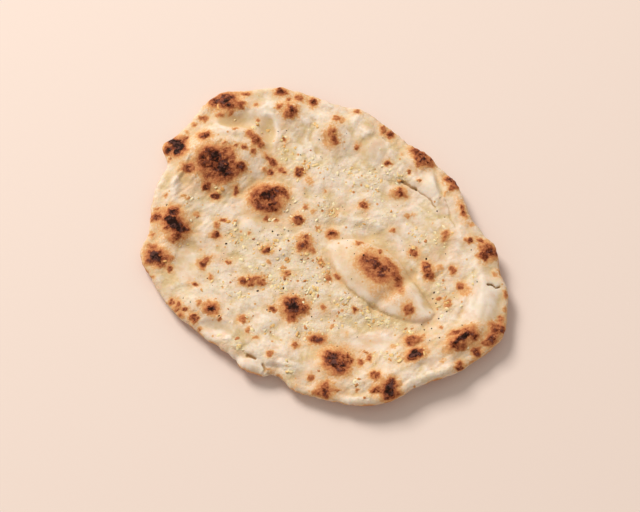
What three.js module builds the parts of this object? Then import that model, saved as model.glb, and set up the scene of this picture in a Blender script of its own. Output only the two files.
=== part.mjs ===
// A naan: leavened dough stretched by hand into an uneven round and baked against a hot oven wall.
// Steam lifts its skin into bubbles, and its edge swells into a soft rim that curls up a little.
// It is one closed solid in millimetres, +Z up, resting on the flat middle of its underside.

import * as THREE from "three";

// Driving dimensions: thicknesses and heights in millimetres, shares of the way from middle to edge
const DOUGH_THICKNESS = 6;
const RIM_THICKNESS = 8.5;
const EDGE_THICKNESS = 5.5;
const RIM_STARTS = 0.7;
const RIM_FULL = 0.9;
const RIM_THINS = 0.88; // from here out to the edge's rounding the rim thins again
const FLAT_SHARE = 0.52; // the underside is flat this far out, and curls up from there
const CURL_END = 1.12; // past the edge, so that the curl is still steepening where it meets the edge
const EDGE_LIFT = 5.5;
const LIFT_LEAN = 2.5; // how much more the highest side of the edge curls up than the mean
const LIFT_SIDE = THREE.MathUtils.degToRad(-35); // the side that curls up most
const NOSE_WIDTH = 4.2; // how far in from the edge its rounding starts
const RELIEF_FADES = 0.9; // from here out to the edge's rounding the bubbles and the ripple fade
const DOME_POWER = 1.5; // how gently a bubble's side meets the dough

// Waves along the edge: share of the height that comes and goes, how many to a turn, and where they start
const LIFT_WAVES = { share: 0.18, count: 5, start: 1 };
const RIM_WAVES = { share: 0.12, count: 7, beatCount: 3, beatStart: 2 };

// Unevenness that the stretching hands leave: height, length, and how far its crests wander
const RIPPLE = { height: 0.45, length: 8.5, wander: 2, wanderX: 19, wanderY: 23 };

// How finely the skin is faceted
const RINGS = 21;
const NOSE_STEPS = 6;
const SIDES = 6; // each ring has this many more points than the one inside it

// The stretched outline, anticlockwise: one point wherever the edge turns
const OUTLINE = [
  [116, -3], [107, 9], [99, 22], [95, 38], [89, 50], [80, 59], [70, 71], [60, 77],
  [53, 84], [42, 93], [26, 105], [13, 108], [0, 113], [-20, 121], [-31, 125], [-41, 124],
  [-53, 122], [-72, 121], [-86, 110], [-95, 97], [-106, 84], [-114, 77], [-110, 63],
  [-115, 51], [-120, 33], [-121, 12], [-126, -5], [-118, -23], [-110, -36], [-101, -48],
  [-86, -61], [-71, -73], [-60, -81], [-56, -87], [-46, -92], [-31, -93], [-22, -102],
  [-10, -107], [6, -111], [24, -114], [44, -111], [56, -104], [69, -98], [86, -92],
  [98, -84], [110, -75], [119, -64], [122, -46], [122, -32], [118, -20],
];

// Bubbles puffed up by steam, and hollows between them, which have a negative height:
// middle, half-length and half-width, turn in degrees, height
const BUBBLES = [
  { at: [33, -19], half: [40, 22], turn: -36, height: 11.5 },
  { at: [58, -44], half: [20, 14], turn: -22, height: 6.5 },
  { at: [-70, 66], half: [34, 28], turn: 8, height: 8 },
  { at: [-40, 36], half: [19, 15], turn: 10, height: 3.2 },
  { at: [-104, 15], half: [17, 14], turn: -60, height: 2.8 },
  { at: [-112, -9], half: [13, 11], turn: 0, height: 2.2 },
  { at: [7, -84], half: [16, 12], turn: -20, height: 3.2 },
  { at: [6, 86], half: [13, 19], turn: 20, height: 2.8 },
  { at: [104, -42], half: [27, 16], turn: 75, height: 3.2 },
  { at: [65, 65], half: [15, 11], turn: -35, height: 2.4 },
  { at: [-68, 108], half: [17, 10], turn: 10, height: 2.4 },
  { at: [93, -69], half: [17, 11], turn: 32, height: 2.4 },
  { at: [-50, -87], half: [9, 6.5], turn: -25, height: 2 },
  { at: [42, -102], half: [12, 11], turn: 0, height: 2 },
  { at: [-81, -45], half: [22, 13], turn: -25, height: 1.8 },
  { at: [-22, -43], half: [12, 11], turn: 0, height: 1.6 },
  { at: [-14, 3], half: [11, 10], turn: 0, height: 1.5 },
  { at: [-61, 96], half: [17, 7.5], turn: 6, height: -2.2 },
  { at: [-40, 91], half: [8.5, 13], turn: 8, height: -1.8 },
  { at: [-73, -59], half: [13, 6], turn: -22, height: -1.8 },
  { at: [24, 12], half: [34, 8], turn: -14, height: -1.6 },
  { at: [20, -56], half: [34, 9], turn: -10, height: -1.6 },
];

const smoothStep = (low, high, value) => THREE.MathUtils.smoothstep(value, low, high);

// The outline's points as angle and distance from the middle, in order of angle, with the last two
// repeated before the first and the first two after the last so that the curve closes on itself.
function polarOutline() {
  const polar = OUTLINE.map(([x, y]) => ({ angle: Math.atan2(y, x), reach: Math.hypot(x, y) }));
  polar.sort((a, b) => a.angle - b.angle);
  const turned = (points, turn) => points.map((p) => ({ angle: p.angle + turn, reach: p.reach }));
  const fullTurn = 2 * Math.PI;
  return [...turned(polar.slice(-2), -fullTurn), ...polar, ...turned(polar.slice(0, 2), fullTurn)];
}

const EDGE = polarOutline();

// Distance from the middle to the edge in one direction: a cubic through the outline's points, whose
// slope at each point is that of the line from its neighbour before to its neighbour after.
function edgeReach(direction) {
  const angle = Math.atan2(Math.sin(direction), Math.cos(direction));
  const next = EDGE.findIndex((p, k) => k > 1 && p.angle >= angle);
  const [before, from, to, after] = EDGE.slice(next - 2, next + 2);
  const span = to.angle - from.angle;
  const slopeFrom = (to.reach - before.reach) / (to.angle - before.angle);
  const slopeTo = (after.reach - from.reach) / (after.angle - from.angle);
  const t = (angle - from.angle) / span;
  return (
    (2 * t ** 3 - 3 * t ** 2 + 1) * from.reach +
    (t ** 3 - 2 * t ** 2 + t) * span * slopeFrom +
    (3 * t ** 2 - 2 * t ** 3) * to.reach +
    (t ** 3 - t ** 2) * span * slopeTo
  );
}

// Height of the underside: flat in the middle, curling up towards the edge, more on one side.
function undersideHeight(direction, share) {
  const edge = EDGE_LIFT + LIFT_LEAN * Math.cos(direction - LIFT_SIDE);
  const waves = 1 + LIFT_WAVES.share * Math.sin(LIFT_WAVES.count * direction + LIFT_WAVES.start);
  const curl = smoothStep(FLAT_SHARE, CURL_END, share) / smoothStep(FLAT_SHARE, CURL_END, 1);
  return edge * waves * curl;
}

// Thickness of the dough without its bubbles: even in the middle, swelling into the rim, and thinner
// again at the edge.
function doughThickness(direction, share) {
  const beat = Math.cos(RIM_WAVES.beatCount * direction + RIM_WAVES.beatStart);
  const rim = RIM_THICKNESS * (1 + RIM_WAVES.share * Math.sin(RIM_WAVES.count * direction) * beat);
  const swollen = THREE.MathUtils.lerp(DOUGH_THICKNESS, rim, smoothStep(RIM_STARTS, RIM_FULL, share));
  return swollen + (EDGE_THICKNESS - rim) * smoothStep(RIM_THINS, 1, share);
}

// Height that one bubble adds: a low dome over a turned ellipse, level with the dough at its foot.
function bubbleHeight({ at, half, turn, height }, x, y) {
  const angle = THREE.MathUtils.degToRad(turn);
  const along = (x - at[0]) * Math.cos(angle) + (y - at[1]) * Math.sin(angle);
  const across = (y - at[1]) * Math.cos(angle) - (x - at[0]) * Math.sin(angle);
  const inside = 1 - (along / half[0]) ** 2 - (across / half[1]) ** 2;
  return inside > 0 ? height * inside ** DOME_POWER : 0;
}

// What the steam and the stretching hands add to the upper skin, fading out at the very edge.
function reliefHeight(x, y, share) {
  const bubbles = BUBBLES.reduce((sum, bubble) => sum + bubbleHeight(bubble, x, y), 0);
  const crestsX = Math.sin(x / RIPPLE.length + RIPPLE.wander * Math.sin(y / RIPPLE.wanderY));
  const crestsY = Math.cos(y / RIPPLE.length - RIPPLE.wander * Math.sin(x / RIPPLE.wanderX));
  return (bubbles + RIPPLE.height * crestsX * crestsY) * (1 - smoothStep(RELIEF_FADES, 1, share));
}

// One point of the skin, above or below, at a share of the way out to where the edge's rounding starts.
function skinPoint(direction, share, upper) {
  const radius = share * (edgeReach(direction) - NOSE_WIDTH);
  const x = radius * Math.cos(direction);
  const y = radius * Math.sin(direction);
  const base = undersideHeight(direction, share);
  const top = base + doughThickness(direction, share) + reliefHeight(x, y, share);
  return [x, y, upper ? top : base];
}

// One point of the rounded edge: half an ellipse from the upper skin down to the underside.
function nosePoint(direction, step) {
  const angle = Math.PI * (0.5 - step / NOSE_STEPS);
  const radius = edgeReach(direction) - NOSE_WIDTH * (1 - Math.cos(angle));
  const half = doughThickness(direction, 1) / 2;
  const height = undersideHeight(direction, 1) + half * (1 + Math.sin(angle));
  return [radius * Math.cos(direction), radius * Math.sin(direction), height];
}

// All the rings of points: out over the upper skin, round the edge, and in over the underside.
// A ring has six points more than the one inside it, so the facets stay nearly equal-sided.
function skinRings() {
  const ring = (count, place) =>
    Array.from({ length: count }, (_, k) => place((2 * Math.PI * k) / count));
  const size = (k) => Math.max(1, SIDES * k);
  const rings = [];
  for (let k = 0; k < RINGS; k += 1) rings.push(ring(size(k), (d) => skinPoint(d, k / RINGS, true)));
  for (let k = 0; k <= NOSE_STEPS; k += 1) rings.push(ring(size(RINGS), (d) => nosePoint(d, k)));
  for (let k = RINGS - 1; k >= 0; k -= 1) rings.push(ring(size(k), (d) => skinPoint(d, k / RINGS, false)));
  return rings;
}

// Triangles between two neighbouring rings of vertex numbers, taking at each step the ring whose
// next point comes first round the turn. At the middle a ring is one point, and half of them vanish.
function stitch(ringA, ringB, faces) {
  const face = (a, b, c) => a !== b && b !== c && c !== a && faces.push(a, b, c);
  let a = 0;
  let b = 0;
  while (a < ringA.length || b < ringB.length) {
    const pointA = ringA[a % ringA.length];
    const pointB = ringB[b % ringB.length];
    if ((b + 1) / ringB.length <= (a + 1) / ringA.length) {
      b += 1;
      face(pointA, pointB, ringB[b % ringB.length]);
    } else {
      a += 1;
      face(pointA, pointB, ringA[a % ringA.length]);
    }
  }
}

// The whole bread as one closed mesh, moved so that the middle of its box is over the origin.
function breadGeometry() {
  const positions = [];
  const faces = [];
  let previous = null;
  for (const ring of skinRings()) {
    const numbers = ring.map((_, k) => positions.length / 3 + k);
    ring.forEach((point) => positions.push(...point));
    if (previous) stitch(previous, numbers, faces);
    previous = numbers;
  }
  const geometry = new THREE.BufferGeometry();
  geometry.setAttribute("position", new THREE.Float32BufferAttribute(positions, 3));
  geometry.setIndex(faces);
  geometry.computeBoundingBox();
  const middle = geometry.boundingBox.getCenter(new THREE.Vector3());
  geometry.translate(-middle.x, -middle.y, -geometry.boundingBox.min.z);
  geometry.computeVertexNormals();
  return geometry;
}

function makeNaan() {
  const crust = new THREE.MeshStandardMaterial({ color: 0xe6d3ae, roughness: 0.8, metalness: 0 });
  const naan = new THREE.Mesh(breadGeometry(), crust);
  naan.name = "naan";
  const part = new THREE.Group();
  part.add(naan);
  return part;
}

export default makeNaan();
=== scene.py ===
"""A garlic naan: the bread, the garlic and the specks on it, then the floor, the light and the camera."""

import bmesh
import bpy
import numpy as np
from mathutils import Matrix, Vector


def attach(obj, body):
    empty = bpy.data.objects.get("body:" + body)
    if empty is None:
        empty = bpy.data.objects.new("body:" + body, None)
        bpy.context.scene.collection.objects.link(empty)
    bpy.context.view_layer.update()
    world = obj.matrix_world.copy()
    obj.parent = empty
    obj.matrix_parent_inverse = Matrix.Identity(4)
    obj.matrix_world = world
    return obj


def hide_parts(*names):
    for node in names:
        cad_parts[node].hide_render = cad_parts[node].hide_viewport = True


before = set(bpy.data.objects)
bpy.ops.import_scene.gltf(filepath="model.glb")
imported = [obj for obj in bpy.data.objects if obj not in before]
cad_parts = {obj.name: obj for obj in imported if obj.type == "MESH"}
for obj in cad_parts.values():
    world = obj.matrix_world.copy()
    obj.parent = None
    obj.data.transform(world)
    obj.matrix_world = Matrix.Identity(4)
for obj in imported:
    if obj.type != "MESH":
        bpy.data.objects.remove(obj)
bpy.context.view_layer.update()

# The bread: leavened dough, stretched by hand into an uneven round and slapped onto a hot oven wall. It is
# one piece of soft crumb, whose skin steam has lifted into bubbles, and whose high places have browned and
# charred. All sizes are in millimetres, and become metres when a mesh is made.

MM = 0.001
DOUGH_THICKNESS = 6
RIM_THICKNESS = 8.5
EDGE_THICKNESS = 5.5
NOSE_WIDTH = 4.2
EDGE_LIFT = 5.5
LIFT_LEAN = 2.5
LIFT_SIDE = np.radians(-35)
HALF_LENGTH = 125
HALF_WIDTH = 116
MEAN_REACH = 118
VIEW_SLOPE = np.radians(67)
EDGE_RISE = 8
SPOT_SPREAD = 1.2

# Shares of the way from the middle to the edge: where the underside starts to curl up and would be level
# again, where the rim starts to swell and is thickest, and where it starts to thin out
CURL_STARTS = 0.52
CURL_ENDS = 1.12
RIM_STARTS = 0.7
RIM_FULL = 0.9
THINNING_STARTS = 0.88

# The outline from above, anticlockwise, about a point near the middle
OUTLINE = np.array([
    (116, -3), (107, 9), (99, 22), (95, 38), (89, 50), (80, 59), (70, 71), (60, 77),
    (53, 84), (42, 93), (26, 105), (13, 108), (0, 113), (-20, 121), (-31, 125), (-41, 124),
    (-53, 122), (-72, 121), (-86, 110), (-95, 97), (-106, 84), (-114, 77), (-110, 63),
    (-115, 51), (-120, 33), (-121, 12), (-126, -5), (-118, -23), (-110, -36), (-101, -48),
    (-86, -61), (-71, -73), (-60, -81), (-56, -87), (-46, -92), (-31, -93), (-22, -102),
    (-10, -107), (6, -111), (24, -114), (44, -111), (56, -104), (69, -98), (86, -92),
    (98, -84), (110, -75), (119, -64), (122, -46), (122, -32), (118, -20),
])

# The largest bubble's foot, anticlockwise, its height above the dough, how far inside the foot it gets
# there, and the narrow end where its side rises more gently
LONG_BUBBLE = np.array([
    (1, 1), (2.5, -9), (8.5, -21), (15, -29), (22, -35.5), (32, -43), (45, -50.5), (57, -55),
    (65, -55.3), (71.5, -52.5), (74, -48), (71.4, -42.5), (64, -31), (58.5, -21.5), (52.6, -12),
    (43, -3), (32, 3), (20, 6.5), (9, 6), (3, 4),
])
LONG_BUBBLE_HEIGHT = 11
LONG_BUBBLE_SIDE = 9.5
LONG_BUBBLE_END = (2, 1)
LONG_BUBBLE_END_SIZE = 14

# Bubbles that steam has puffed: middle, half-length, half-width, turn in degrees, height, and how the side
# falls, from 1, a tight blister, to 1.5, a gentle swell
BUBBLES = [
    (-70, 66, 34, 28, 8, 8, 1.1), (-40, 36, 19, 15, 10, 3.2, 1.2), (-104, 15, 17, 14, -60, 2.8, 1.3),
    (-112, -9, 13, 11, 0, 2.2, 1.3), (7, -84, 16, 12, -20, 3.2, 1.3), (6, 86, 13, 19, 20, 2.8, 1.2),
    (104, -42, 27, 16, 75, 3.2, 1.2), (65, 65, 15, 11, -35, 2.4, 1.3), (-68, 108, 17, 10, 10, 2.4, 1.3),
    (93, -69, 17, 11, 32, 2.4, 1.3), (-50, -87, 9, 6.5, -25, 2, 1), (42, -102, 12, 11, 0, 2, 1.3),
    (-81, -45, 22, 13, -25, 1.8, 1.3), (-22, -43, 12, 11, 0, 1.6, 1.3), (-14, 3, 11, 10, 0, 1.5, 1.3),
    (29.5, 88, 6, 9, 10, 1.3, 1), (34, 72, 10, 9, -30, 0.9, 1.4), (20, 97, 7, 6, 0, 1.2, 1.2),
    (-52, 17, 7, 7, 0, 1.1, 1), (0, -104, 11, 8, 0, 1.6, 1.3), (59, -80, 9, 6, 20, 1.4, 1.3),
    (59, -68, 10, 5, 5, 1.1, 1.3), (-24, 104, 9, 11, -30, 1.4, 1.3), (112, -5, 9, 9, 0, 1.6, 1.3),
    (74, 45, 7, 11, 10, 1.6, 1.3), (89, 45, 7, 9, -20, 1.6, 1.3), (113, -65, 9, 10, 0, 1.4, 1.3),
    (78, -89, 13, 6, 22, 1.8, 1.2), (24, -111, 18, 5, 5, 1.4, 1.2), (-114, -22, 6, 8, 0, 1.3, 1.2),
    (-106, 45, 7, 17, -8, 1.6, 1.3), (50, 41, 8, 6, -10, 1, 1.4), (-33, -84, 11, 4, -14, 1.4, 1.2),
    (-62, -71, 12, 4, -28, 1.2, 1.2), (-80, 13, 8, 9, 0, 1.2, 1.4), (-52, -25, 13, 6, -8, 1, 1.5),
    (-6, -67, 9, 7, 0, 1, 1.4), (-6, 49, 18, 9, -10, 0.9, 1.5), (-22, 62, 12, 9, -30, 1, 1.5),
    (98, 18, 6, 10, 30, 1.2, 1.3), (71, -18, 5, 8, 20, 1.2, 1.4), (62, -97, 4, 2.5, 20, 1, 1),
    (68, -94, 3.5, 2.6, 40, 1.2, 1), (74.5, -92, 4, 2.4, 10, 1, 1), (81, -88.5, 4.5, 2.5, 35, 1, 1),
    (54, -101, 4, 3, 30, 0.9, 1), (71, -98, 4, 2, 20, 0.8, 1), (30, -62, 18, 7, -8, 0.8, 1.5),
    (70, -66, 16, 7, 15, 0.9, 1.4), (-40, -55, 9, 7, 0, 0.8, 1.4),
]

# Hollows between them: middle, half-length, half-width, turn in degrees, depth
HOLLOWS = [
    (-61, 96, 17, 7.5, 6, 2.2), (-40, 91, 8.5, 13, 8, 1.8), (-73, -59, 13, 6, -22, 1.8),
    (24, 12, 34, 8, -14, 1.6), (20, -56, 34, 9, -10, 1.6), (79, 45, 4, 13, 8, 1.8),
    (-98, 50, 5, 20, -8, 1.6), (-95, -12, 8, 14, 10, 1.2), (-90, 0, 12, 7, 0, 1),
    (-35, -62, 6, 10, -30, 1), (62, -88, 16, 4, 18, 1.2), (70, -44, 6, 12, 20, 1.2),
    (84, 18, 7, 16, 15, 1), (-15, 85, 10, 12, 0, 1), (20, 60, 18, 10, -12, 0.9),
    (-20, -16, 28, 12, -22, 0.9), (-60, -10, 14, 8, -10, 0.8), (96, -8, 9, 10, 0, 0.8),
    (-45, -42, 10, 7, 0, 0.8), (40, -88, 18, 6, 10, 1), (-15, -92, 9, 9, 0, 0.9),
]

# Folds where the dough wrinkled or tore: the line's points, its width, and its height, or a negative depth.
# The narrow troughs also get painted shade: tan to near-black lines along them.
NARROW_FOLD = 2
FOLDS = [
    ([(53, 49.5), (57, 47), (63, 42.5)], 1.1, -1.7),
    ([(63, 42.5), (68, 38.5), (73, 33), (76, 28)], 0.4, -1),
    ([(53, 54), (60, 50), (66, 45), (72, 40), (78, 34)], 7, 1.1),
    ([(82, 33), (85, 27), (85.5, 20), (89, 12)], 0.4, -0.5),
    ([(109, -30.5), (111, -31.3), (114, -33), (117, -31.8)], 0.3, -2.4),
    ([(106, -27.5), (111, -28), (117, -28)], 5, 0.4),
    ([(-51, -79.8), (-48.5, -81), (-46, -82.3)], 1.6, -1.5),
    ([(-41, -86), (-37, -92), (-34, -94)], 1.5, -1.3),
    ([(60, -94), (67, -90.5), (76, -87), (86, -84)], 2.6, -0.5),
    ([(-2, -106), (20, -107), (36, -108)], 3, -0.4),
    ([(6, 13), (22, 20), (37, 17), (48, 7), (57, -6), (65, -20)], 6, 0.9),
    ([(8, 22), (28, 29), (45, 24), (58, 12), (67, -2)], 6, 0.7),
    ([(-42, 101.5), (-37, 100), (-34, 94), (-33, 87), (-35, 80)], 2.4, 0.9),
    ([(-78, 88), (-62, 87), (-50, 86), (-43, 79)], 6, 1.2),
    ([(-99, 62), (-102, 52), (-100, 41)], 5, 0.6), ([(-85, -31), (-74, -31), (-65, -35)], 5, 0.6),
    ([(-88, -57), (-80, -54), (-70, -54), (-62, -57)], 3, 0.8),
    ([(101, -20), (103, -35), (99, -50)], 3, -0.5), ([(106, -36), (108, -45), (104, -57)], 3, -0.3),
    ([(94, -25), (95, -40), (90, -52)], 3, -0.7), ([(-96, -8), (-93, -18), (-94, -26)], 8, 0.3),
    ([(66, -57), (76, -55), (88, -56)], 3, -0.7), ([(-8, 96), (-10, 84), (-6, 73)], 3, -0.9),
    ([(-41, -86), (-34, -84.5), (-26, -87)], 3, 0.7),
    ([(32, -44), (42, -36.5), (51, -29), (58, -21)], 9, -2.2),
    ([(2, -9), (8.5, -21), (15, -29), (22, -35.5), (32, -43), (45, -50.5)], 0.9, -0.6),
    ([(73, -45), (71, -42), (64, -31), (58.5, -21.5)], 0.7, -0.5),
    ([(-94, 66), (-97, 60), (-101, 53), (-105, 47)], 1.8, 1),
]

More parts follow.
